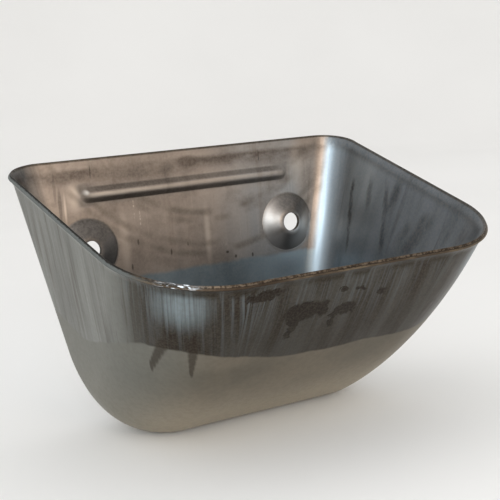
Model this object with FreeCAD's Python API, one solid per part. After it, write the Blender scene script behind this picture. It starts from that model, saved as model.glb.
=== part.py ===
import FreeCAD, Part
import math
import os

# Seamless elevator bucket, deep drawn from one sheet of steel. All sizes in mm.
# Work frame while it is built: rim plane at z = 0, bucket below it, back wall at y = 0
# at the rim, front lip towards -y, x to the right. It is turned at the end so that the
# flat back stands upright: +Z up, +Y towards the belt, origin on the flat back face,
# half way between the two bolt holes.

V = FreeCAD.Vector

# Sheet and mouth
sheet = 2.0                 # wall thickness
width = 180.0               # over the flared rim, near the back
front_width = 171.0         # the same at the front lip, the mouth narrows a little
mouth_depth = 140.0         # from the back face to the front lip, along the rim plane

# Back wall
back_slope_deg = 18.3       # the back wall leans under the mouth by this much
back_flat = 78.5            # flat length from the rim plane down to the bottom bend

# Bottom and front, outside surfaces
bottom_radius = 39.4        # bend from the back into the bottom
lip_slope_deg = 79.4        # slope of the front wall at the lip, from the rim plane
side_draft_deg = 12.7       # the side walls lean in

# Blends between side walls and the rest, outside radii
corner_rear = 15.8          # down the back wall
corner_bottom = 33.6        # under the bottom, where the bend ends
corner_lip = 40.2           # at the front lip

# Flared rim, left by the drawing edge of the die; the back edge stays straight
die_radius = 6.0            # outside radius of the flare
flare_height = 0.55 * die_radius

# Bolt bosses: two cones pressed inwards, so that the belt can dip into them
boss_pitch = 106.5          # hole to hole
boss_drop = 40.0            # holes below the rim plane, along the back
bolt_hole = 9.0             # clearance for M8 bucket bolts
boss_base = 28.8            # cone diameter where it meets the wall
boss_top = 12.0             # cone diameter at its flat top
boss_height = 4.3
boss_foot_radius = 1.5
boss_crown_radius = sheet + 3.0

# Stiffening bead above the bosses, pressed inwards
bead_drop = 15.3            # centre line below the rim plane, along the back
bead_length = 110.5         # over its rounded ends
bead_base = 7.2             # width where it meets the wall
bead_height = 2.0
bead_top = 2.4              # width across its crown before rounding
bead_foot_radius = 1.5
bead_crown_radius = sheet + 0.6

sink = 0.04                 # the foot rounds dip this far under the wall, for a clean edge

slope = math.radians(back_slope_deg)
draft = math.radians(side_draft_deg)
lip_slope = math.radians(lip_slope_deg)


def flare_run(lean, height):
    """How far outwards the flare reaches at this height, from a wall that leans out by lean."""
    s = min(height / die_radius + math.sin(lean), 0.97)
    return die_radius * (math.cos(lean) - math.sqrt(1 - s * s))


# What the flare adds outside the straight side wall: the walls are set in by that much.
flare_out = flare_run(draft, flare_height) - flare_height * math.tan(draft)
narrowing = (width - front_width) / 2 / mouth_depth
side_half = width / 2 - flare_out + narrowing * corner_rear
lip_reach = mouth_depth - flare_out
# The rim is trimmed flat along its inner edge, this far above the outer edge of the flare.
rim_top = sheet * (flare_height / die_radius + math.sin(draft))

# Middle section, drawn as (y, z). The unit normal of a travel direction points inwards.
down = (-math.sin(slope), -math.cos(slope))


def inward(d):
    return (d[1], -d[0])


def turned(angle):
    """Travel direction after turning from the back wall towards the front by angle."""
    c, s = math.cos(angle), math.sin(angle)
    return (c * down[0] + s * down[1], c * down[1] - s * down[0])


back_n = inward(down)
bend_centre = (down[0] * back_flat + back_n[0] * bottom_radius,
               down[1] * back_flat + back_n[1] * bottom_radius)


def front_of(th):
    """Front curve when the bottom bend stops at slope th: its radius and the reach of its lip."""
    y_end = bend_centre[0] - bottom_radius * math.sin(th)
    z_end = bend_centre[1] - bottom_radius * math.cos(th)
    r = -z_end / (math.cos(th) - math.cos(lip_slope))
    return r, -(y_end - r * (math.sin(lip_slope) - math.sin(th)))


def bend_stop():
    """Slope at which the bottom bend has to stop for the lip to end at lip_reach."""
    low, high = math.radians(5), math.radians(75)
    for _ in range(60):
        mid = (low + high) / 2
        if front_of(mid)[1] > lip_reach:
            low = mid
        else:
            high = mid
    return (low + high) / 2


stop_slope = bend_stop()
front_radius = front_of(stop_slope)[0]
bend_turn = stop_slope + math.pi / 2 - slope
front_turn = lip_slope - stop_slope


def on_circle(centre, radius, angle):
    n = inward(turned(angle))
    return (centre[0] - n[0] * radius, centre[1] - n[1] * radius)


bend_end = on_circle(bend_centre, bottom_radius, bend_turn)
n_end = inward(turned(bend_turn))
front_centre = (bend_end[0] + n_end[0] * front_radius, bend_end[1] + n_end[1] * front_radius)

over = 12.0                 # the blank solids run on above the rim plane before they are cut


def in_section(p):
    return V(0, p[0], p[1])


def half_body(inset, top_z):
    """Right half of the solid inside a surface set in by inset, cut off at top_z."""
    r1 = bottom_radius - inset
    r2 = front_radius - inset
    run_on = math.radians(4)
    foot = on_circle(bend_centre, r1, 0)
    head = (foot[0] - down[0] * (back_flat + over), foot[1] - down[1] * (back_flat + over))
    bend_mid = on_circle(bend_centre, r1, bend_turn / 2)
    bend_out = on_circle(bend_centre, r1, bend_turn)
    front_mid = on_circle(front_centre, r2, bend_turn + (front_turn + run_on) / 2)
    front_out = on_circle(front_centre, r2, bend_turn + front_turn + run_on)
    section = Part.Wire([
        Part.makeLine(in_section(head), in_section(foot)),
        Part.Arc(in_section(foot), in_section(bend_mid), in_section(bend_out)).toShape(),
        Part.Arc(in_section(bend_out), in_section(front_mid), in_section(front_out)).toShape(),
        Part.makeLine(in_section(front_out), in_section(head)),
    ])
    solid = Part.Face(section).extrude(V(width, 0, 0))
    side_n = V(1, -narrowing, -math.tan(draft))
    side = Part.makeBox(width, 6 * width, 6 * width, V(0, -3 * width, -3 * width))
    side.Placement = FreeCAD.Placement(V(side_half - inset * side_n.Length, 0, 0),
                                       FreeCAD.Rotation(V(1, 0, 0), side_n))
    solid = solid.cut(side).Solids[0]

    # One running blend from the back edge round the bottom to the lip, its radius growing.
    def radius_at(p):
        if p.y > foot[0] - 0.01:
            return corner_rear - inset
        if p.y > bend_out[0] - 0.01:
            return corner_bottom - inset
        return corner_lip - inset

    doc = FreeCAD.newDocument("blend")
    base = doc.addObject("Part::Feature", "base")
    base.Shape = solid
    blend = doc.addObject("Part::Fillet", "fillet")
    blend.Base = base
    edges = []
    for i, e in enumerate(solid.Edges, 1):
        first, last = e.valueAt(e.FirstParameter), e.valueAt(e.LastParameter)
        if min(first.x, last.x) < 1 or min(first.z, last.z) > 0:
            continue
        edges.append((i, radius_at(last), radius_at(first)))
    blend.Edges = edges
    doc.recompute()
    solid = blend.Shape.copy().Solids[0]
    FreeCAD.closeDocument(doc.Name)
    trim = Part.makeBox(4 * width, 4 * width, width, V(-2 * width, -2 * width, top_z))
    return solid.cut(trim).Solids[0]


def rim_chain(solid, top_z):
    """The open top edge of a half body from back to front: (edge, samples) pairs, a sample
    being (point, outward direction in plan, lean of the wall, share of the flare there)."""
    edges = []
    for e in solid.Edges:
        mid = e.valueAt((e.FirstParameter + e.LastParameter) / 2)
        if abs(mid.z - top_z) < 1e-4 and mid.x > 0.01:
            edges.append((mid.y, e))
    edges.sort(key=lambda pair: -pair[0])
    chain = []
    for _, e in edges:
        wall = [f for f in solid.Faces if any(x.isSame(e) for x in f.Edges)
                and abs(f.CenterOfMass.z - top_z) > 1e-3][0]
        count = 2 if e.Curve.TypeId == "Part::GeomLine" else 13
        row = []
        for k in range(count):
            p = e.valueAt(e.FirstParameter + (e.LastParameter - e.FirstParameter) * k / (count - 1))
            u, v = wall.Surface.parameter(p)
            n = wall.normalAt(u, v)
            plan = V(n.x, n.y, 0).normalize()
            # the flare fades in round the rear corner and is whole from there to the lip
            turn = math.degrees(math.acos(max(min(plan.y, 1), -1)))
            share = min(max((turn - 10) / 70, 0), 1)
            row.append((p, plan, math.asin(-n.z), share * share * (3 - 2 * share)))
        before = chain[-1][1][-1][0] if chain else V(0, row[0][0].y, top_z)
        if row[0][0].distanceToPoint(before) > row[-1][0].distanceToPoint(before):
            row.reverse()
        chain.append((e, row))
    return chain


def ring(chain, place):
    """Open wire along the rim, each sample moved to place(point, plan, lean, share)."""
    edges = []
    start = None
    for e, row in chain:
        pts = [place(*sample) for sample in row]
        if start is not None:
            pts[0] = start
        if len(pts) == 2:
            edges.append(Part.makeLine(pts[0], pts[1]))
        else:
            curve = Part.BSplineCurve()
            curve.interpolate(Points=pts, InitialTangent=V(row[0][1].y, -row[0][1].x, 0),
                              FinalTangent=V(row[-1][1].y, -row[-1][1].x, 0))
            edges.append(curve.toShape())
        start = pts[-1]
    return Part.Wire(edges)


def end_lean(lean, share):
    """Lean of the sheet where it is cut, at the end of the flare."""
    full = math.asin(min(flare_height / die_radius + math.sin(lean), 0.97))
    return lean + share * (full - lean)


def half_skin(inset):
    """One side of the sheet, right half: its faces and the wire along its cut edge."""
    start = -flare_height + inset * math.sin(draft)
    solid = half_body(inset, start)
    chain = rim_chain(solid, start)
    steps = 5

    def level(k):
        def place(p, plan, lean, share):
            # an arc that ends square under the cut, drawn out straight where there is no flare
            last = end_lean(lean, share)
            rise = flare_height + rim_top - inset * math.sin(draft) - (sheet - inset) * math.sin(last)
            if last - lean < 1e-3:
                climb = rise * k / steps
                out = climb * math.tan(lean)
            else:
                now = lean + (last - lean) * k / steps
                radius = rise / (math.sin(last) - math.sin(lean))
                climb = radius * (math.sin(now) - math.sin(lean))
                out = radius * (math.cos(lean) - math.cos(now))
            return V(p.x + plan.x * out, p.y + plan.y * out, start + climb)
        return place

    rings = [Part.Wire([e for e, _ in chain])]
    for k in range(1, steps + 1):
        rings.append(ring(chain, level(k)))
    flare = Part.makeLoft(rings, False)
    walls = [f for f in solid.Faces if abs(f.CenterOfMass.x) > 1e-3
             and abs(f.CenterOfMass.z - start) > 1e-3]
    return walls + flare.Faces, rings[-1]


outer_faces, outer_rim = half_skin(0)
inner_faces, inner_rim = half_skin(sheet)
cut_faces = Part.makeLoft([outer_rim, inner_rim], False, True).Faces
right_half = Part.makeCompound(outer_faces + inner_faces + cut_faces)
left_half = right_half.mirror(V(0, 0, 0), V(1, 0, 0))
skin = Part.makeCompound([right_half, left_half])
skin.sewShape(0.002)
shell = Part.makeSolid(max(skin.Shells, key=lambda s: len(s.Faces)))
if shell.Volume < 0:
    shell.reverse()
shell = shell.removeSplitter()

# Stand the back upright and bring the line of the holes to the origin.
shell.rotate(V(0, 0, 0), V(1, 0, 0), back_slope_deg)
shell.translate(V(0, 0, boss_drop))


def press_face(form, offset, floor_h):
    """Half section of a pressed form from its axis out, heights measured into the bucket from
    the inside of the wall: its raised outline, moved towards the back by offset, down to
    floor_h. base and top are full widths between sharp corners, foot is hollow, crown round."""
    base, top, height, foot_radius, crown_radius = form
    angle = math.atan2(height, (base - top) / 2)
    crown_x = top / 2 - crown_radius * math.tan(angle / 2)
    foot_x = base / 2 + foot_radius * math.tan(angle / 2)
    crown_r = crown_radius - offset
    foot_r = foot_radius + offset

    def crown(a):
        return put(crown_x + crown_r * math.sin(a), height - crown_radius + crown_r * math.cos(a))

    def foot(a):
        return put(foot_x - foot_r * math.sin(a), foot_radius - sink - foot_r * math.cos(a))

    def put(r, h):
        return V(r, -(sheet + h), 0)

    axis_top, axis_floor, edge_floor = put(0, height - offset), put(0, floor_h), put(foot_x, floor_h)
    return Part.Face(Part.Wire([
        Part.makeLine(axis_top, crown(0)),
        Part.Arc(crown(0), crown(angle / 2), crown(angle)).toShape(),
        Part.makeLine(crown(angle), foot(angle)),
        Part.Arc(foot(angle), foot(angle / 2), foot(0)).toShape(),
        Part.makeLine(foot(0), edge_floor),
        Part.makeLine(edge_floor, axis_floor),
        Part.makeLine(axis_floor, axis_top),
    ]))


def pressed(form, offset, floor_h, run):
    """Solid of a pressed form round the Y axis, drawn out along X by run."""
    face = press_face(form, offset, floor_h)
    if run == 0:
        return face.revolve(V(0, 0, 0), V(0, 1, 0), 360)
    right = face.revolve(V(0, 0, 0), V(0, 1, 0), 180)
    right.rotate(V(0, 0, 0), V(0, 1, 0), -90)
    right.translate(V(run / 2, 0, 0))
    left = right.mirror(V(0, 0, 0), V(1, 0, 0))
    face.rotate(V(0, 0, 0), V(0, 1, 0), 90)
    face.translate(V(-run / 2, 0, 0))
    lower = face.extrude(V(run, 0, 0))
    upper = lower.mirror(V(0, 0, 0), V(0, 0, 1))
    return right.fuse([lower, upper, left]).removeSplitter()


boss_form = (boss_base, boss_top, boss_height, boss_foot_radius, boss_crown_radius)
bead_form = (bead_base, bead_top, bead_height, bead_foot_radius, bead_crown_radius)
bead_foot = bead_foot_radius * math.tan(math.atan2(bead_height, (bead_base - bead_top) / 2) / 2)
bead_run = bead_length - bead_base - 2 * bead_foot

# The raised side reaches down to the middle of the sheet, the hollow side out past the back.
forms = [(boss_form, 0, V(-boss_pitch / 2, 0, 0)),
         (boss_form, 0, V(boss_pitch / 2, 0, 0)),
         (bead_form, bead_run, V(0, 0, boss_drop - bead_drop))]
for form, run, place in forms:
    raised = pressed(form, 0, -sheet / 2, run)
    raised.translate(place)
    shell = shell.fuse(raised)
for form, run, place in forms:
    hollow = pressed(form, sheet, -2 * sheet, run)
    hollow.translate(place)
    shell = shell.cut(hollow)
for sx in (-1, 1):
    hole = Part.makeCylinder(bolt_hole / 2, 4 * boss_height + 4 * sheet,
                             V(sx * boss_pitch / 2, sheet, 0), V(0, -1, 0))
    shell = shell.cut(hole)

bucket = max(shell.removeSplitter().Solids, key=lambda s: s.Volume)

os.makedirs("parts", exist_ok=True)
bucket.exportStep("parts/bucket.step")
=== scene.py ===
import math

import bpy
from mathutils import Matrix, Vector


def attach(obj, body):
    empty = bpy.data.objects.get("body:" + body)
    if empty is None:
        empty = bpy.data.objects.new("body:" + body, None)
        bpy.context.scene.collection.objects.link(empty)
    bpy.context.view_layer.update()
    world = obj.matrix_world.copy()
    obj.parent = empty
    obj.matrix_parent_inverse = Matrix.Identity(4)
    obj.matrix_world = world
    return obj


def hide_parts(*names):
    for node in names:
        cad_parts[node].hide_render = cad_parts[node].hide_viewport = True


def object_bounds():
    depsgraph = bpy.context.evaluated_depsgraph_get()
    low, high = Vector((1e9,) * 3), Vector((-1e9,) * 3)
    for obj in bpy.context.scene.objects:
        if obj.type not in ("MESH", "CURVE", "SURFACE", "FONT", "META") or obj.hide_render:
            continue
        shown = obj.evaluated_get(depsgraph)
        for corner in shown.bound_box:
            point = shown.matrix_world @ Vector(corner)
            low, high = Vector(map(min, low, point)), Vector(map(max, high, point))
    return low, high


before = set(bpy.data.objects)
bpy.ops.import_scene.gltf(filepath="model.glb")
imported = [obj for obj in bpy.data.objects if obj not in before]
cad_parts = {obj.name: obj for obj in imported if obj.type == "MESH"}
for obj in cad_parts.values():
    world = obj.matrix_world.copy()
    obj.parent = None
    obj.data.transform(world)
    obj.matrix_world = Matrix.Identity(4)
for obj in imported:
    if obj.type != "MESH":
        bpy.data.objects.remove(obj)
cad_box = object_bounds()
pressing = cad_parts["bucket"]
mm = 0.001

# The bucket's own measures. In its frame the back is upright and the origin is between the
# holes. The marks on it are placed from the rim plane instead: x to the right, -y to the lip,
# z up out of the mouth, with the origin on the back's middle line at the rim.
back_lean = math.radians(18.3)          # the rim plane leans back by this much
hole_drop = 40 * mm                     # from the rim plane down the back to the holes
hole_pitch = 106.5 * mm
hole_radius = 4.5 * mm
hole_y = -hole_drop * math.sin(back_lean)
hole_z = -hole_drop * math.cos(back_lean)
bead_half_length = 57 * mm
bead_crest_z = -13.6 * mm
flat_back_half = 68 * mm
back_inner_y = -8 * mm                  # all of the pressed back wall lies behind this, in the frame
hollow_middle = Vector((0, -55 * mm, -25 * mm))     # in the open hollow, from the rim plane
edge_break = 0.2 * mm                   # how far the sheared edges are broken

# Camera: the photograph's own viewpoint
photo_side = 500.0
focal_px = 1083.9
camera_place = Vector((-0.23516, -0.45629, 0.06116))
camera_right = Vector((0.85497, -0.51276, -0.07807))
camera_ahead = Vector((0.50028, 0.85499, -0.13678))
sensor = 36.0

scene = bpy.context.scene
scene.view_settings.view_transform = "Standard"

camera_data = bpy.data.cameras.new("photo_view")
camera_data.sensor_width = sensor
camera_data.lens = focal_px * sensor / photo_side
camera_data.clip_start = 0.01
camera_data.clip_end = 30.0
camera = bpy.data.objects.new("photo_view", camera_data)
scene.collection.objects.link(camera)
ahead = camera_ahead.normalized()
right = (camera_right - ahead * camera_right.dot(ahead)).normalized()
turn = Matrix((right, right.cross(ahead), -ahead)).transposed()
camera.matrix_world = Matrix.Translation(camera_place) @ turn.to_4x4()
scene.camera = camera


def linear(hex_colour):
    """sRGB hex to the linear RGBA that shader sockets take."""
    out = []
    for k in (1, 3, 5):
        c = int(hex_colour[k:k + 2], 16) / 255
        out.append(c / 12.92 if c <= 0.04045 else ((c + 0.055) / 1.055) ** 2.4)
    return (*out, 1.0)


def mm_at(*place):
    """A place or a size given in millimetres, in metres."""
    return tuple(p * mm for p in place)


def add(tree, kind, inputs=None, out=0, **settings):
    """Add one node with its settings, values and links, and give back one of its outputs."""
    node = tree.nodes.new(kind)
    for name, value in settings.items():
        setattr(node, name, value)
    for key, value in (inputs or {}).items():
        if isinstance(value, bpy.types.NodeSocket):
            tree.links.new(value, node.inputs[key])
        else:
            node.inputs[key].default_value = value
    return node.outputs[out]


def gather(tree, how, first, *others):
    """One value out of several: ADD, SUBTRACT from the first, MULTIPLY, or the MAXIMUM."""
    for other in others:
        first = add(tree, "ShaderNodeMath", {0: first, 1: other}, operation=how)
    return first


def overlap(tree, *masks):
    """Only where all these masks lie, as strong as all their shares together."""
    return gather(tree, "MULTIPLY", *masks)


def lay(tree, under, over, *masks):
    """Colour over, laid on colour under where the masks overlap. A plain number thins it."""
    under, over = (linear(c) if isinstance(c, str) else c for c in (under, over))
    return add(tree, "ShaderNodeMix", {0: overlap(tree, *masks), 6: under, 7: over}, out=2, data_type="RGBA")


def ease(tree, value, low, high, to_low=0.0, to_high=1.0, how="SMOOTHSTEP"):
    """to_low up to low, to_high from high on, and a soft or a LINEAR step between them."""
    return add(tree, "ShaderNodeMapRange", {"Value": value, "From Min": low, "From Max": high,
                                            "To Min": to_low, "To Max": to_high}, interpolation_type=how)


def stripe(tree, value, middle, full, none):
    """1 while the value is within full of this middle, 0 when it is further off than none."""
    off = add(tree, "ShaderNodeMath", {0: gather(tree, "SUBTRACT", value, middle)}, operation="ABSOLUTE")
    return ease(tree, off, full, none, 1.0, 0.0)


def spot(tree, where, centre, half, core):
    """1 within this share of an oval with these half sizes, fading to 0 at its edge."""
    inverse = tuple(1 / h for h in half)
    away = add(tree, "ShaderNodeVectorMath", {0: where, 1: centre}, operation="SUBTRACT")
    scaled = add(tree, "ShaderNodeVectorMath", {0: away, 1: inverse}, operation="MULTIPLY")
    far = add(tree, "ShaderNodeVectorMath", {0: scaled}, out=1, operation="LENGTH")
    return ease(tree, far, core, 1.0, 1.0, 0.0)


def marks(tree, where, size, stretch=(1, 1, 1), detail=2.0, roughness=0.5, seed=0.0):
    """Cloudy marks of about this size, 0 to 1, drawn out along an axis by stretch."""
    inverse = tuple(1 / s for s in stretch)
    along = add(tree, "ShaderNodeVectorMath", {0: where, 1: inverse}, operation="MULTIPLY")
    moved = add(tree, "ShaderNodeVectorMath", {0: along, 1: (seed, seed, seed)}, operation="ADD")
    return add(tree, "ShaderNodeTexNoise", {"Vector": moved, "Scale": 1 / size, "Detail": detail,
                                            "Roughness": roughness})


def new_steel(name):
    """An empty steel material: its node tree and its shader."""
    material = bpy.data.materials.new(name)
    material.use_nodes = True
    shader = material.node_tree.nodes["Principled BSDF"]
    shader.inputs["Metallic"].default_value = 1.0
    return material, material.node_tree, shader


def emboss(tree, shader, *layers):
    """Give the surface these heights, each with its depth and how strongly it shows."""
    lit = {}
    for height, depth, strength in layers:
        lit["Normal"] = add(tree, "ShaderNodeBump", {"Height": height, "Distance": depth,
                                                     "Strength": strength, **lit})
    tree.links.new(lit["Normal"], shader.inputs["Normal"])


def sheet_places(tree):
    """Where a point lies on the pressing, from the rim plane. place is the point. drawn runs round
    the mouth in x and y, is the same all down a draw line, and has the depth in z. at holds the
    point's x, y and z, and wall holds which way its wall looks outwards."""
    place = add(tree, "ShaderNodeMapping", {"Vector": add(tree, "ShaderNodeTexCoord", out=3),
                                            "Rotation": (-back_lean, 0, 0), "Location": (0, hole_y, hole_z)})
    at = add(tree, "ShaderNodeSeparateXYZ", {"Vector": place}).node.outputs
    # Middles of the corner blends at the rim, front and rear; with depth they draw together
    front_x, front_y = 45 * mm, -98 * mm
    rear_x, rear_y = 72 * mm, -16 * mm
    widest_y = -40 * mm
    blend_radius = 40 * mm
    wall_lean = math.tan(math.radians(13))
    reach = ease(tree, at["Y"], front_y, widest_y, front_x, rear_x, how="LINEAR")
    cores = []
    # Once straight down from the rim, for drawn, and once leaning in as the walls do, for wall
    for lean_x, lean_front, lean_rear in ((0, 0, 0), (wall_lean, -wall_lean, math.tan(back_lean))):
        far_x, near_y, far_y = (
            add(tree, "ShaderNodeMath", {0: at["Z"], 1: lean, 2: from_rim}, operation="MULTIPLY_ADD")
            for lean, from_rim in ((lean_x, reach), (lean_front, front_y), (lean_rear, rear_y)))
        near_x = add(tree, "ShaderNodeMath", {0: far_x, 1: -1.0}, operation="MULTIPLY")
        core_x = add(tree, "ShaderNodeClamp", {"Value": at["X"], "Min": near_x, "Max": far_x})
        core_y = add(tree, "ShaderNodeClamp", {"Value": at["Y"], "Min": near_y, "Max": far_y})
        cores.append(add(tree, "ShaderNodeCombineXYZ", {"X": core_x, "Y": core_y, "Z": at["Z"]}))
    side = add(tree, "ShaderNodeVectorMath", {0: place, 1: cores[1]}, operation="SUBTRACT")
    side = add(tree, "ShaderNodeVectorMath", {0: side}, operation="NORMALIZE")
    arm = add(tree, "ShaderNodeVectorMath", {0: side, "Scale": blend_radius}, operation="SCALE")
    drawn = add(tree, "ShaderNodeVectorMath", {0: cores[0], 1: arm}, operation="ADD")
    wall = add(tree, "ShaderNodeSeparateXYZ", {"Vector": side}).node.outputs
    return place, drawn, at, wall


# Cold-drawn mild steel, outside. The die has rubbed the upper band into fine upright lines,
# dark with burnt drawing oil between bare blue-grey ones; below it the sheet kept its dull
# mill finish, a soft olive grey.
outside, tree, shader = new_steel("drawn_steel_outside")
place, drawn, at, wall = sheet_places(tree)
front = ease(tree, wall["Y"], -0.5, -0.9)
front_or_corner = ease(tree, wall["Y"], -0.05, -0.72)

# Real draw lines, 0.2 mm apart, and the sheet's grain, 0.1 mm, would be lost in the picture, so
# the finest lines are drawn at 0.8 mm and the grain at 0.9 mm
fine_line = marks(tree, drawn, 0.8 * mm, stretch=(1, 1, 60), roughness=0.6)
line = marks(tree, drawn, 2.0 * mm, stretch=(1, 1, 20), detail=4.0, roughness=0.65, seed=3.0)
broad_line = marks(tree, drawn, 11 * mm, stretch=(1, 1, 5), seed=7.0)
cloud = marks(tree, place, 28 * mm, detail=3.0, seed=1.0)
grain = marks(tree, place, 0.9 * mm, roughness=0.6, seed=5.0)
mottle = marks(tree, place, 2.2 * mm, detail=3.0, roughness=0.6, seed=11.0)

# The rubbed band's lower end: highest at the front corners, lower in the middle of the front,
# lowest on the back, and a little ragged
corner_end = -31 * mm
side_end = -54 * mm
back_end = -80 * mm
side_bend = 6 * mm
front_sag = -10.5 * mm
rag = 1.3 * mm
ragged = marks(tree, drawn, 30 * mm, stretch=(1, 1, 1000), detail=5.0, roughness=0.55, seed=2.0)
ragged = ease(tree, ragged, 0.3, 0.7, -rag, rag, how="LINEAR")
band_end = ease(tree, at["Y"], -112 * mm, -10 * mm, corner_end, back_end, how="LINEAR")
band_end = add(tree, "ShaderNodeMath", {0: band_end, 1: side_end, 2: side_bend}, operation="SMOOTH_MAX")
sag = overlap(tree, ease(tree, at["X"], -66 * mm, -10 * mm, 0.0, front_sag),
              ease(tree, at["X"], 78 * mm, 45 * mm))
over_end = gather(tree, "SUBTRACT", at["Z"], gather(tree, "ADD", band_end, sag, ragged))
band = ease(tree, over_end, -0.5 * mm, 0.7 * mm)

# Dull lower part: olive, paler underneath as a painted reflection of the floor, greyer to the sides and the
# back
low_colour = lay(tree, "#746E63", "#837B6E", ease(tree, cloud, 0.35, 0.65))
low_colour = lay(tree, low_colour, "#B3A999", ease(tree, at["Z"], -45 * mm, -90 * mm))
off_middle = add(tree, "ShaderNodeMath", {0: at["X"]}, operation="ABSOLUTE")
low_colour = lay(tree, low_colour, "#7D7E78", ease(tree, off_middle, 45 * mm, 76 * mm, 0.0, 0.9))
low_colour = lay(tree, low_colour, "#7F7F79", ease(tree, at["Y"], -75 * mm, -30 * mm, 0.0, 0.8))

# Rubbed band, on the sides and the back: pale and soft, with darker lines and two dark streaks
# down the left side
side_colour = lay(tree, "#656661", "#7A7C77", ease(tree, broad_line, 0.35, 0.65))
side_colour = lay(tree, side_colour, "#574F46", ease(tree, line, 0.57, 0.68, 0.0, 0.6))
# Each has its y, z, half width and half height in mm
side_streaks = ((-38.3, -24, 1.7, 28), (-30, -18, 1.1, 18))
for streak_y, streak_z, wide, tall in side_streaks:
    streak = spot(tree, drawn, mm_at(-112, streak_y, streak_z), mm_at(60, wide, tall), 0.4)
    side_colour = lay(tree, side_colour, "#524A42", streak, 0.6)

# Rubbed band, on the front and its corners: dark oil with bare lines, barest near the rim and
# on the left, and a pale painted reflection at both corners
front_colour = lay(tree, "#373029", "#4B4843", ease(tree, broad_line, 0.38, 0.62))
front_colour = lay(tree, front_colour, "#6D7376", ease(tree, line, 0.4, 0.62),
                   ease(tree, fine_line, 0.36, 0.6), ease(tree, at["Z"], -32 * mm, -4 * mm, 0.2, 0.8),
                   ease(tree, at["X"], -45 * mm, -10 * mm, 1.0, 0.65),
                   ease(tree, at["X"], 10 * mm, 50 * mm, 1.0, 0.6))
# Painted reflection: pale blue-grey spots on both front corners
corner_reflections = [spot(tree, drawn, mm_at(rub_x, -129.5, -9), mm_at(14, 14, 15), 0.1) for rub_x in (-69, 69)]
front_colour = lay(tree, front_colour, "#8B979C", gather(tree, "MAXIMUM", *corner_reflections),
                   ease(tree, fine_line, 0.3, 0.6, 0.6, 1.0))
band_colour = lay(tree, side_colour, front_colour, front_or_corner)

# Thick drawing oil, nearly black, left in ragged blots on the front: middles and half sizes in mm
oil_blots = (
    ((-39, -138, -6), (9, 9, 3)), ((-19, -135, -17), (10, 9, 5.5)), ((-10, -134, -18), (3, 9, 5)),
    ((-22, -133, -24), (3, 9, 8)), ((1, -134, -19.5), (7, 9, 3.8)), ((-4, -132, -24), (2, 9, 6)),
    ((-2, -137, -9.6), (2.4, 9, 1.3)), ((6, -136, -11), (2, 9, 1.3)), ((17, -135, -14), (2.2, 9, 1.6)))
wander = add(tree, "ShaderNodeTexNoise", {"Vector": place, "Scale": 1 / (5 * mm), "Detail": 4.0,
                                          "Roughness": 0.65}, out=1)
wander = add(tree, "ShaderNodeVectorMath", {0: wander, 1: (0.5, 0.5, 0.5)}, operation="SUBTRACT")
wander = add(tree, "ShaderNodeVectorMath", {0: wander, "Scale": 8 * mm}, operation="SCALE")
blot_place = add(tree, "ShaderNodeVectorMath", {0: place, 1: wander}, operation="ADD")
blots = [spot(tree, blot_place, mm_at(*middle), mm_at(*half), 0.72) for middle, half in oil_blots]
band_colour = lay(tree, band_colour, "#28211B", gather(tree, "MAXIMUM", *blots), 0.92)
# Painted shadow: a dark ragged band along under the rim, on the front
under_rim_shadow = marks(tree, drawn, 10 * mm, stretch=(1, 1, 3), detail=3.0, seed=9.0)
band_colour = lay(tree, band_colour, "#30291F", ease(tree, at["Z"], -5.5 * mm, -2.5 * mm),
                  ease(tree, under_rim_shadow, 0.4, 0.52), front, 0.85)

# Two runs of oil hang over the band's end at the left front corner, narrowing downwards.
# Each has its top, its tip, and its half width at both, in mm
oil_runs = (((-75, -124.5, -29.5), (-78.4, -119.9, -42.5), 2.7, 1.0),
            ((-66.1, -132, -27), (-67.3, -131, -42.5), 3.2, 1.1))
run_steps = 6
drops = []
for run_top, run_tip, wide_top, wide_tip in oil_runs:
    for step in range(run_steps):
        down = step / (run_steps - 1)
        wide = wide_top + (wide_tip - wide_top) * down
        drop_at = Vector(run_top).lerp(Vector(run_tip), down)
        drops.append(spot(tree, drawn, mm_at(*drop_at), mm_at(wide, wide, 4.5), 0.45))

colour = lay(tree, low_colour, band_colour, band)
colour = lay(tree, colour, "#372E26", gather(tree, "MAXIMUM", *drops), 0.72)
colour = lay(tree, colour, "#4E483F", ease(tree, mottle, 0.4, 0.65, 0.0, 0.12))
colour = lay(tree, colour, "#A39A8C", ease(tree, grain, 0.35, 0.7, 0.0, 0.08))
tree.links.new(colour, shader.inputs["Base Color"])

mill_roughness = 0.52
rough = ease(tree, line, 0.3, 0.7, 0.3, 0.45, how="LINEAR")
rough = add(tree, "ShaderNodeMix", {0: band, 2: mill_roughness, 3: rough})
rough = gather(tree, "ADD", rough, ease(tree, grain, 0.3, 0.7, -0.03, 0.03))
tree.links.new(rough, shader.inputs["Roughness"])
height = gather(tree, "ADD", overlap(tree, fine_line, band), overlap(tree, grain, 0.35))
waves = marks(tree, place, 22 * mm, detail=1.0, roughness=0.4, seed=4.0)
emboss(tree, shader, (height, 0.03 * mm, 0.5), (waves, 0.5 * mm, 0.5))

# The same steel, inside, where the punch pressed it: smoother and brighter, with a brown bloom
# of old oil on the back wall, blue-grey bare steel on the sides and in the bottom.
inside, tree, shader = new_steel("drawn_steel_inside")
place, drawn, at, wall = sheet_places(tree)
on_back = ease(tree, wall["Y"], 0.76, 0.97)
off_middle = add(tree, "ShaderNodeMath", {0: at["X"]}, operation="ABSOLUTE")
# The punch's fine lines and the grain are drawn coarser here too, at 1.2 mm
line = marks(tree, drawn, 6.5 * mm, stretch=(1, 1, 9), detail=3.0, seed=3.0)
fine_line = marks(tree, drawn, 1.2 * mm, stretch=(1, 1, 50), roughness=0.6)
broad_line = marks(tree, drawn, 14 * mm, stretch=(1, 1, 5), seed=6.0)
cloud = marks(tree, place, 24 * mm, detail=3.0, seed=1.0)
grain = marks(tree, place, 1.2 * mm, roughness=0.6, seed=5.0)

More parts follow.
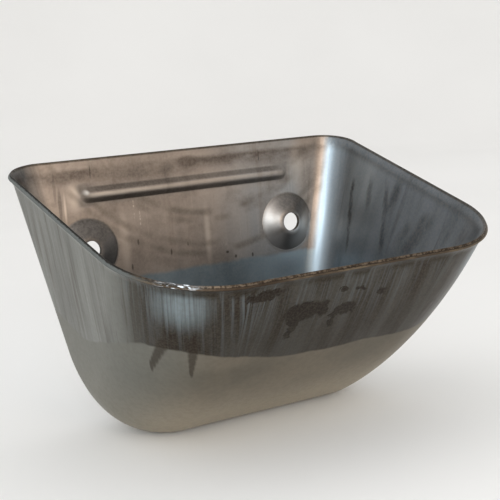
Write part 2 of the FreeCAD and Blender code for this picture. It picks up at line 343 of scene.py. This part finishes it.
# Sides: blue-grey with darker lines, paler towards the back
side_colour = lay(tree, "#6E767D", "#7F878F", ease(tree, broad_line, 0.35, 0.65))
side_colour = lay(tree, side_colour, "#4E5156", ease(tree, line, 0.5, 0.7),
                  ease(tree, cloud, 0.4, 0.6, 0.2, 0.75), ease(tree, wall["Y"], 0.1, 0.5, 1.0, 0.25),
                  ease(tree, at["Z"], -85 * mm, -65 * mm, 0.2, 1.0))
side_colour = lay(tree, side_colour, "#9AA3A8", ease(tree, at["Y"], -60 * mm, -30 * mm, 0.0, 0.35))

# Frayed dark smears down the right wall, some leaning. Each has its y at the top end, its top and
# bottom in z, its lean (y gained for each z), its half width, all in mm, and its share
wall_smears = (
    (-25.0, -14, -36, 0.33, 2.2, 0.9), (-31.0, -30, -49, 0.33, 1.4, 0.65), (-50.5, -7, -40, 0.33, 2.4, 0.6),
    (-58.0, -4, -22, 0.0, 4.2, 0.6), (-85.0, -10, -36, -0.34, 6.0, 0.6), (-38.0, -8, -26, 0.25, 2.8, 0.5),
    (-74.0, -18, -50, -0.3, 4.0, 0.45))
fray = marks(tree, place, 5 * mm, stretch=(1, 1, 2), detail=4.0, roughness=0.6, seed=6.0)
fray = ease(tree, fray, 0.3, 0.7, -0.7 * mm, 0.7 * mm)
patchy = marks(tree, place, 7 * mm, stretch=(1, 1, 1.5), detail=3.0, roughness=0.6, seed=9.0)
patchy = ease(tree, patchy, 0.36, 0.56, 0.5, 1.0)
for top_y, top, bottom, lean, wide, share in wall_smears:
    across = add(tree, "ShaderNodeMath", {0: at["Z"], 1: -lean, 2: at["Y"]}, operation="MULTIPLY_ADD")
    across = gather(tree, "ADD", across, fray)
    smear = stripe(tree, across, (top_y - lean * top) * mm, 0.2 * wide * mm, wide * mm)
    side_colour = lay(tree, side_colour, "#383C41", smear, patchy,
                      ease(tree, at["Z"], (bottom - 2) * mm, (bottom + 6) * mm),
                      ease(tree, at["Z"], (top + 2) * mm, (top - 5) * mm),
                      ease(tree, at["X"], 40 * mm, 60 * mm, 0.0, share))

# Painted highlight on the side walls low by the rear corners; by the left one, painted shade in a warm brown
side_colour = lay(tree, side_colour, "#B0BBC2", ease(tree, wall["Y"], 0.3, 0.75),
                  ease(tree, at["Z"], -20 * mm, -45 * mm, 0.2, 0.7))
left_corner_shade = lay(tree, "#62564C", "#7C6F64", ease(tree, cloud, 0.4, 0.6))
side_colour = lay(tree, side_colour, left_corner_shade, ease(tree, wall["X"], -0.2, -0.5),
                  ease(tree, at["Y"], -70 * mm, -35 * mm, 0.0, 0.85))

# Back: a brown bloom, greyer to the right, blotched and lined
blotch = marks(tree, place, 11 * mm, stretch=(1.5, 1, 1), detail=5.0, roughness=0.65, seed=12.0)
back_colour = lay(tree, "#897D73", "#9F9287", ease(tree, cloud, 0.35, 0.65))
back_colour = lay(tree, back_colour, "#979694", ease(tree, at["X"], 5 * mm, 40 * mm, 0.0, 0.7),
                  ease(tree, at["X"], 66 * mm, 56 * mm))
back_colour = lay(tree, back_colour, "#665B52", ease(tree, blotch, 0.45, 0.65, 0.0, 0.3))
back_colour = lay(tree, back_colour, "#75685D", ease(tree, line, 0.58, 0.68, 0.0, 0.3))
back_colour = lay(tree, back_colour, "#D8CCBE", ease(tree, fine_line, 0.6, 0.7, 0.0, 0.08))

# It stops at a soft straight edge, where the load kept the steel below bare and blue-grey
bloom_end = -52 * mm
low_colour = lay(tree, "#6E787C", "#828D92", ease(tree, cloud, 0.35, 0.65))
low_colour = lay(tree, low_colour, "#A6B1B6", ease(tree, at["X"], 15 * mm, 50 * mm, 0.0, 0.6))
low_shade = spot(tree, place, mm_at(52, -21, -59), mm_at(14, 60, 6.5), 0.1)
low_colour = lay(tree, low_colour, "#4A5357", low_shade, 0.25)
uneven = marks(tree, drawn, 8 * mm, stretch=(1, 1, 1000), seed=2.0)
uneven = ease(tree, uneven, 0.3, 0.7, bloom_end - 0.4 * mm, bloom_end + 0.4 * mm, how="LINEAR")
over_bloom_end = gather(tree, "SUBTRACT", at["Z"], uneven)
back_colour = lay(tree, low_colour, back_colour, ease(tree, over_bloom_end, -1.2 * mm, 1.2 * mm))
colour = lay(tree, side_colour, back_colour, on_back)

# Painted shade: a soft dark strip between the back rim and the bead
strip_cloud = marks(tree, place, 12 * mm, stretch=(2.5, 1, 1), detail=4.0, roughness=0.55, seed=8.0)
colour = lay(tree, colour, "#574D46", ease(tree, strip_cloud, 0.35, 0.6, 0.15, 0.95), on_back,
             ease(tree, at["Z"], -11 * mm, -5 * mm), ease(tree, at["Z"], -1.4 * mm, -4 * mm))
# Painted shade along both feet of the bead: z, half width in mm, and share
bead_foot_shades = ((-11.3, 1.3, 0.6), (-16.3, 1.9, 0.4))
for foot_z, foot_half, share in bead_foot_shades:
    foot_shade = stripe(tree, at["Z"], foot_z * mm, 0.5 * mm, foot_half * mm)
    colour = lay(tree, colour, "#433A33", foot_shade, ease(tree, off_middle, bead_half_length, 44 * mm),
                 on_back, share)
# Smudges on the strip, and an oval thumb mark: middle, half sizes in mm, and share
smudges = (((-11, -4.5, -6.5), (5.5, 9, 4.2), 0.55), ((-11.5, -6, -12), (1.8, 12, 7), 0.4),
           ((-27, -4, -7), (17, 9, 3.4), 0.35))
for middle, half, share in smudges:
    smudge = spot(tree, place, mm_at(*middle), mm_at(*half), 0.1)
    colour = lay(tree, colour, "#453E38", smudge, on_back, share)
thumb = spot(tree, place, mm_at(0.3, -3.3, -4.2), mm_at(7, 9, 3.4), 0.5)
colour = lay(tree, colour, "#554A42", thumb, 0.7)
# Painted highlight along the bead's crest, strongest on the left, and a painted glint at its left end
crest_highlight = stripe(tree, at["Z"], bead_crest_z, 0.4 * mm, 1.5 * mm)
colour = lay(tree, colour, "#D2C5B7", crest_highlight, ease(tree, off_middle, bead_half_length, 51 * mm), on_back,
             ease(tree, at["X"], -50 * mm, 20 * mm, 0.5, 0.15))
glint = spot(tree, place, mm_at(-52.4, -7.5, -12.4), mm_at(2.2, 3, 1.5), 0.1)
colour = lay(tree, colour, "#FAF4EC", glint, 0.85)

# The cones of the two bolt bosses carry painted light and shade: a cone colour, paler on the right
# one than on the left, a painted highlight beside the hole, painted shade over the top, and a
# painted shadow line in the crease at the foot. Left and right: the cone's colour, how far off the
# hole the highlight lies, and the highlight's share
bosses = ((-hole_pitch / 2, "#6E6A67", -9, 0.4), (hole_pitch / 2, "#A59F9A", 6, 0.75))
for boss_x, cone_light_and_shade, highlight_off, highlight_share in bosses:
    boss = Vector((boss_x, hole_y, hole_z))
    cone = spot(tree, place, boss, mm_at(15.4, 60, 14.9), 0.9)
    cone_highlight = spot(tree, place, boss + Vector(mm_at(highlight_off, 0, -5)), mm_at(11, 60, 10), 0.2)
    shade = spot(tree, place, boss + Vector(mm_at(2, 0, 10)), mm_at(15, 60, 10), 0.3)
    inner_cone = spot(tree, place, boss, mm_at(14.6, 60, 14.1), 0.88)
    foot_crease_shade = gather(tree, "SUBTRACT", cone, overlap(tree, cone, inner_cone))
    colour = lay(tree, colour, cone_light_and_shade, cone, 0.75)
    colour = lay(tree, colour, "#DCDAD6", cone_highlight, cone, highlight_share)
    colour = lay(tree, colour, "#45413E", shade, cone, 0.75)
    colour = lay(tree, colour, "#3D3732", foot_crease_shade, 0.5)

# Pale upright rubs on the back wall: x, z, half width, half height in mm, and share
back_rubs = ((8, -38, 2.4, 18, 0.42), (-35, -38, 3.6, 20, 0.3), (61, -12, 6, 16, 0.3),
             (-57, -14, 6, 9, 0.5), (-62.3, -19, 0.9, 9, 0.6))
for rub_x, rub_z, wide, tall, share in back_rubs:
    rub = spot(tree, place, mm_at(rub_x, -13, rub_z), mm_at(wide, 60, tall), 0.1)
    colour = lay(tree, colour, "#DCCCBC", rub, on_back, share)
# Darker broken bows left by the punch, round one middle: radius in mm, and share
bow_middle = mm_at(12, -12, 46)
bows = ((74, 0.75), (77.5, 0.45), (88, 0.55), (92.5, 0.6))
from_middle = add(tree, "ShaderNodeVectorMath", {0: place, 1: bow_middle}, out=1, operation="DISTANCE")
for bow_radius, share in bows:
    bow = stripe(tree, from_middle, bow_radius * mm, 0.2 * mm, 2.6 * mm)
    broken = ease(tree, marks(tree, place, 16 * mm, seed=bow_radius), 0.4, 0.62)
    colour = lay(tree, colour, "#6A6056", bow, broken, on_back, share)
# Short dark nicks and two long hairlines: place, half width, half height in mm, and share
nicks = (
    ((-49, -3, -4), 0.45, 3.6, 0.7), ((39.5, -3.5, -5), 0.45, 3.4, 0.7), ((-28.5, -14, -37), 0.6, 1.6, 0.7),
    ((-32.5, -18, -47.5), 0.6, 1.8, 0.7), ((-12, -16, -43.5), 0.6, 1.8, 0.7), ((-3, -16, -41), 0.5, 1.2, 0.6),
    ((18, -18, -47.5), 1.1, 0.8, 0.8), ((22.5, -19, -50), 0.8, 1.0, 0.8), ((32, -19, -50.5), 0.7, 1.3, 0.8),
    ((-64.5, -7, -17), 1.1, 9, 0.45), ((-66.5, -5, -10), 0.9, 8, 0.3))
for nick_at, wide, tall, share in nicks:
    nick = spot(tree, place, mm_at(*nick_at), mm_at(wide, 12, tall), 0.5)
    colour = lay(tree, colour, "#3A332D", nick, share)
# Two broken bright scratches left of the middle
scratches = (((-29.3, -11, -22), 7), ((-26.5, -11, -27), 6))
for scratch_at, tall in scratches:
    scratch = spot(tree, place, mm_at(*scratch_at), mm_at(0.35, 12, tall), 0.4)
    colour = lay(tree, colour, "#D8CCBE", scratch, ease(tree, grain, 0.45, 0.6), 0.5)

# The flare was bent last and stayed duller, with a dark line along the edge itself
colour = lay(tree, colour, "#4E5051", ease(tree, at["Z"], -6 * mm, -1.5 * mm),
             ease(tree, on_back, 1.0, 0.0), 0.6)
colour = lay(tree, colour, "#38322B", ease(tree, at["Z"], 0.4 * mm, 0.9 * mm, 0.0, 0.85))
colour = lay(tree, colour, "#C4BAAE", ease(tree, grain, 0.3, 0.7, 0.0, 0.1))
tree.links.new(colour, shader.inputs["Base Color"])

# The bead was burnished less than the wall round it, least at its two ends
on_bead = overlap(tree, on_back, ease(tree, at["Z"], -8 * mm, -10 * mm),
                  ease(tree, at["Z"], -20 * mm, -18 * mm), ease(tree, off_middle, 58 * mm, 54 * mm))
duller = overlap(tree, on_bead, ease(tree, off_middle, 46 * mm, 52 * mm, 0.14, 0.36))
rough = ease(tree, line, 0.3, 0.7, 0.38, 0.48, how="LINEAR")
tree.links.new(gather(tree, "ADD", duller, rough), shader.inputs["Roughness"])
height = gather(tree, "ADD", overlap(tree, fine_line, 0.6), overlap(tree, grain, 0.4))
waves = marks(tree, place, 20 * mm, detail=1.0, roughness=0.4, seed=4.0)
emboss(tree, shader, (height, 0.02 * mm, 0.4), (waves, 0.4 * mm, 0.5))

# The sheared edge of the sheet. From outside to inside it has a strip that the shear rubbed,
# a dark line, and the rough torn strip, mottled brown; the edges of the sides are greyer.
cut_edge, tree, shader = new_steel("sheared_steel_edge")
place, drawn, at, wall = sheet_places(tree)
mottle = marks(tree, place, 1.1 * mm, detail=3.0, roughness=0.65, seed=2.0)
patch = marks(tree, drawn, 12 * mm, seed=4.0)
# The cut face rises 1.54 mm from its outer to its inner edge; the strips on it end unevenly
rise = gather(tree, "ADD", at["Z"], ease(tree, mottle, 0.3, 0.7, -0.15 * mm, 0.15 * mm))
rubbed = overlap(tree, ease(tree, rise, 0.62 * mm, 0.45 * mm), ease(tree, rise, -3 * mm, -1 * mm))
dark_line = overlap(tree, ease(tree, rise, 0.45 * mm, 0.6 * mm), ease(tree, rise, 0.95 * mm, 0.75 * mm))
# At the left front corner the torn strip is bare and grey, and the rubbed one darker
corner = spot(tree, drawn, mm_at(-70, -129.5, 0), mm_at(13, 12, 25), 0.3)
corner_darkening = spot(tree, drawn, mm_at(-58, -134, 0), mm_at(32, 18, 25), 0.5)
torn_colour = lay(tree, "#3A3129", "#6B5F52", ease(tree, mottle, 0.4, 0.62))
torn_colour = lay(tree, torn_colour, "#5C5E60", corner, 0.5)
rubbed_colour = lay(tree, "#4E443A", "#6A5E4F", ease(tree, patch, 0.4, 0.6))
rubbed_colour = lay(tree, rubbed_colour, "#362C24", corner_darkening, 0.75)
side_colour = lay(tree, "#767A78", "#34322F", ease(tree, rise, 0.8 * mm, 1.1 * mm))
off_middle = add(tree, "ShaderNodeMath", {0: wall["X"]}, operation="ABSOLUTE")
colour = lay(tree, torn_colour, rubbed_colour, rubbed)
colour = lay(tree, colour, "#2B241D", dark_line, 0.8)
colour = lay(tree, colour, side_colour, ease(tree, off_middle, 0.75, 0.97))
colour = lay(tree, colour, "#3F382F", ease(tree, wall["Y"], 0.3, 0.8))
# The same corner catches the light in short bright dashes
glint = spot(tree, drawn, mm_at(-70, -129.3, 0), mm_at(9, 9, 25), 0.3)
dash = marks(tree, drawn, 1.1 * mm, stretch=(2.6, 2.6, 0.5), seed=8.0)
colour = lay(tree, colour, "#D3D7DB", glint, ease(tree, dash, 0.5, 0.62))
tree.links.new(colour, shader.inputs["Base Color"])
shader.inputs["Roughness"].default_value = 0.55
emboss(tree, shader, (mottle, 0.12 * mm, 0.6))


# The pressing itself: the CAD form with its loose facets joined and its sheared edges
# broken by a hair
def rim_view(vector, is_place=True):
    """A place or a direction of the bucket's frame, seen from the rim plane."""
    lowered = vector - Vector((0, 0, hole_drop)) if is_place else vector
    return Matrix.Rotation(-back_lean, 3, "X") @ lowered


bpy.ops.object.select_all(action="DESELECT")
bucket = pressing.copy()
bucket.data = pressing.data.copy()
bucket.name = "pressed_bucket"
scene.collection.objects.link(bucket)
bucket.select_set(True)
bpy.context.view_layer.objects.active = bucket
bucket.data.materials.clear()
for material in (outside, inside, cut_edge):
    bucket.data.materials.append(material)
outside_slot, inside_slot, edge_slot = range(3)
bpy.ops.object.mode_set(mode="EDIT")
bpy.ops.mesh.select_all(action="SELECT")
bpy.ops.mesh.remove_doubles(threshold=0.001 * mm)
bpy.ops.object.mode_set(mode="OBJECT")
for polygon in bucket.data.polygons:
    middle = rim_view(polygon.center)
    normal = rim_view(polygon.normal, False)
    outwards = normal.dot(middle - hollow_middle)
    # On the flat back the pressed cones and the bead face every way, so there y decides
    if polygon.center.y > back_inner_y and abs(polygon.center.x) < flat_back_half and middle.z < -1 * mm:
        outwards = polygon.normal.y
    from_hole = math.hypot(abs(polygon.center.x) - hole_pitch / 2, polygon.center.z)
    if from_hole < hole_radius + 0.05 * mm and abs(polygon.normal.y) < 0.4:
        polygon.material_index = edge_slot
    elif outwards < 0:
        polygon.material_index = inside_slot
    elif normal.z > 0.4 and middle.z > -0.5 * mm:
        polygon.material_index = edge_slot
    else:
        polygon.material_index = outside_slot
bpy.ops.object.mode_set(mode="EDIT")
bpy.ops.mesh.select_mode(type="EDGE")
bpy.ops.mesh.select_all(action="DESELECT")
bpy.ops.mesh.edges_select_sharp(sharpness=math.radians(40))
bpy.ops.object.mode_set(mode="OBJECT")
for edge in bucket.data.edges:
    middle = sum((bucket.data.vertices[v].co for v in edge.vertices), Vector()) / 2
    edge.select = edge.select and rim_view(middle).z > -1 * mm
bpy.ops.object.mode_set(mode="EDIT")
bpy.ops.mesh.bevel(offset=edge_break, segments=2, profile=0.5, affect="EDGES", clamp_overlap=True,
                   material=edge_slot)
bpy.ops.object.mode_set(mode="OBJECT")
bpy.ops.object.shade_smooth_by_angle(angle=math.radians(35))
bpy.ops.object.modifier_add(type="WEIGHTED_NORMAL")
bucket.modifiers[-1].keep_sharp = True
bpy.ops.object.modifier_apply(modifier=bucket.modifiers[-1].name)
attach(bucket, "root")
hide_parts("bucket")

# Matt wall paint laid on with a roller: an even, pale, shineless warm white
studio_paint = bpy.data.materials.new("matt_studio_paint")
studio_paint.use_nodes = True
tree = studio_paint.node_tree
shader = tree.nodes["Principled BSDF"]
roller = add(tree, "ShaderNodeTexNoise", {"Vector": add(tree, "ShaderNodeTexCoord", out=3), "Scale": 2.0,
                                          "Detail": 2.0})
paint = lay(tree, "#F1F0EE", "#F4F3F1", ease(tree, roller, 0.3, 0.7))
tree.links.new(paint, shader.inputs["Base Color"])
shader.inputs["Roughness"].default_value = 0.9
shader.inputs["Specular IOR Level"].default_value = 0.1

# Floor: a wide pale disc whose edge curves up all round into a low wall
floor_radius = 2.0
sweep_radius = 0.9
sweep_steps = 10
wall_height = 0.5
floor_level = cad_box[0].z
bpy.ops.object.select_all(action="DESELECT")
bpy.ops.mesh.primitive_circle_add(vertices=96, radius=floor_radius, fill_type="NGON",
                                  location=(0, 0, floor_level))
floor = bpy.context.object
floor.name = "floor"
bpy.ops.object.mode_set(mode="EDIT")
bpy.ops.mesh.select_mode(type="EDGE")
bpy.ops.mesh.select_all(action="SELECT")
bpy.ops.mesh.region_to_loop()
reach = floor_radius
bend = 0.0
for step in range(sweep_steps + 1):
    if step < sweep_steps:
        next_bend = math.pi / 2 * (step + 1) / sweep_steps
        lift = sweep_radius * (math.cos(bend) - math.cos(next_bend))
        wider = floor_radius + sweep_radius * math.sin(next_bend)
        bend = next_bend
    else:
        lift = wall_height
        wider = reach
    bpy.ops.mesh.extrude_edges_move(TRANSFORM_OT_translate={"value": (0, 0, lift)})
    bpy.ops.transform.resize(value=(wider / reach, wider / reach, 1), center_override=(0, 0, floor_level))
    reach = wider
bpy.ops.mesh.select_all(action="SELECT")
bpy.ops.mesh.normals_make_consistent(inside=True)
bpy.ops.object.mode_set(mode="OBJECT")
bpy.ops.object.transform_apply(location=True, rotation=True, scale=True)
bpy.ops.object.shade_smooth()
floor.data.materials.append(studio_paint)

# Even pale light from all round, and two soft windows low in front, one cool and one warm
world = bpy.data.worlds.new("studio")
scene.world = world
world.use_nodes = True
background = world.node_tree.nodes["Background"]
background.inputs["Color"].default_value = linear("#FFFFFF")
background.inputs["Strength"].default_value = 0.95

window_away = 1.1
window_wide = 0.30
window_tall = 0.5
# Each window's azimuth and elevation in degrees, its watts and its colour
windows = (("cool_window", -116, 8, 6.5, "#DCEBF5"), ("warm_window", -90, 6, 3.0, "#F7DFC8"))
for name, azimuth, elevation, watts, window_colour in windows:
    lamp_data = bpy.data.lights.new(name, "AREA")
    lamp_data.shape = "RECTANGLE"
    lamp_data.size = window_wide
    lamp_data.size_y = window_tall
    lamp_data.energy = watts
    lamp_data.color = linear(window_colour)[:3]
    lamp = bpy.data.objects.new(name, lamp_data)
    round_by = math.radians(azimuth)
    up_by = math.radians(elevation)
    level = math.cos(up_by)
    aim = Vector((math.cos(round_by) * level, math.sin(round_by) * level, math.sin(up_by)))
    lamp.location = aim * window_away
    lamp.rotation_euler = aim.to_track_quat("Z", "Y").to_euler()
    scene.collection.objects.link(lamp)
